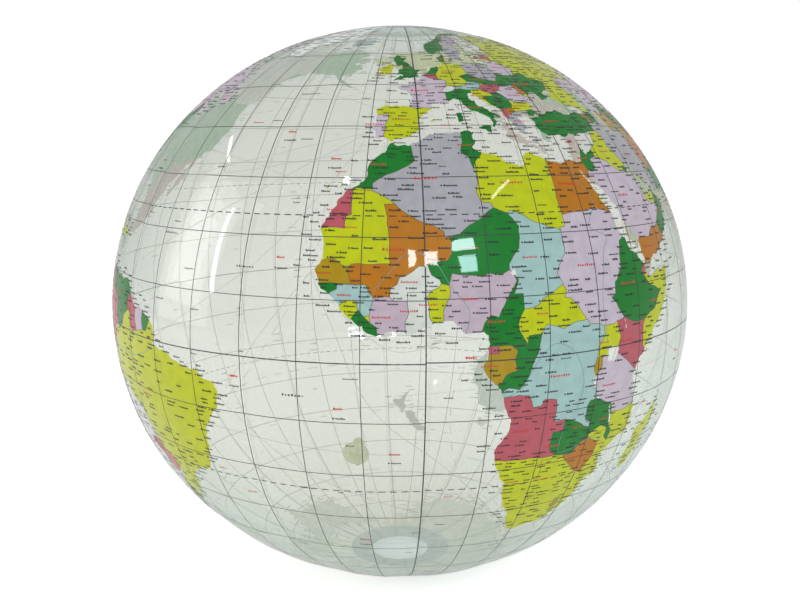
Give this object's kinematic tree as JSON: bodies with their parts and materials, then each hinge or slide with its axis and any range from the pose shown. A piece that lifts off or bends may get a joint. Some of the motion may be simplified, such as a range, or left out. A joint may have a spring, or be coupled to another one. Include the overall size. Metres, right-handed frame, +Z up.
{
  "type": "inflatable globe ball",
  "caption": "Clear inflatable world globe ball: printed film gores welded edge to edge, a cap over each pole, and a push-in air valve with a stopper and check flap.",
  "frame": {"origin": "centre of the flat under the south cap, on the surface that the ball stands on", "axes": "+Z up through both poles; longitude 0 of the map faces -Y and longitude 90 east faces +X"},
  "size_m": [0.4064, 0.4064, 0.3894],
  "materials": {
    "clear_film": "gloss",
    "valve_vinyl": "satin",
    "map_ink": "gloss"
  },
  "bodies": {
    "globe": {"gore_01": "clear_film", "gore_02": "clear_film", "gore_03": "clear_film", "gore_04": "clear_film", "gore_05": "clear_film", "gore_06": "clear_film", "gore_07": "clear_film", "gore_08": "clear_film", "gore_09": "clear_film", "gore_10": "clear_film", "gore_11": "clear_film", "gore_12": "clear_film", "north_cap": "clear_film", "south_cap": "clear_film", "valve_flange": "valve_vinyl", "valve_skirt": "valve_vinyl"},
    "neck": {"valve_neck": "valve_vinyl", "valve_strap": "valve_vinyl"},
    "plug": {"valve_plug": "valve_vinyl"},
    "flap": {"valve_flap": "valve_vinyl"}
  },
  "joints": [
    {"name": "neck_push", "type": "slide", "parent": "globe", "child": "neck", "axis": [-0.149, 0.5559, -0.8178], "range_m": [0, 0.012], "deforming": ["valve_skirt"]},
    {"name": "plug_pull", "type": "slide", "parent": "neck", "child": "plug", "axis": [-0.149, 0.5559, -0.8178], "range_m": [0, 0.007], "deforming": ["valve_strap"]},
    {"name": "flap_open", "type": "hinge", "parent": "neck", "child": "flap", "pos_m": [-0.02959, 0.11042, 0.05402], "axis": [-0.9659, -0.2588, 0], "range_deg": [0, 60], "stiffness_Nm_per_rad": 0.0001}
  ]
}
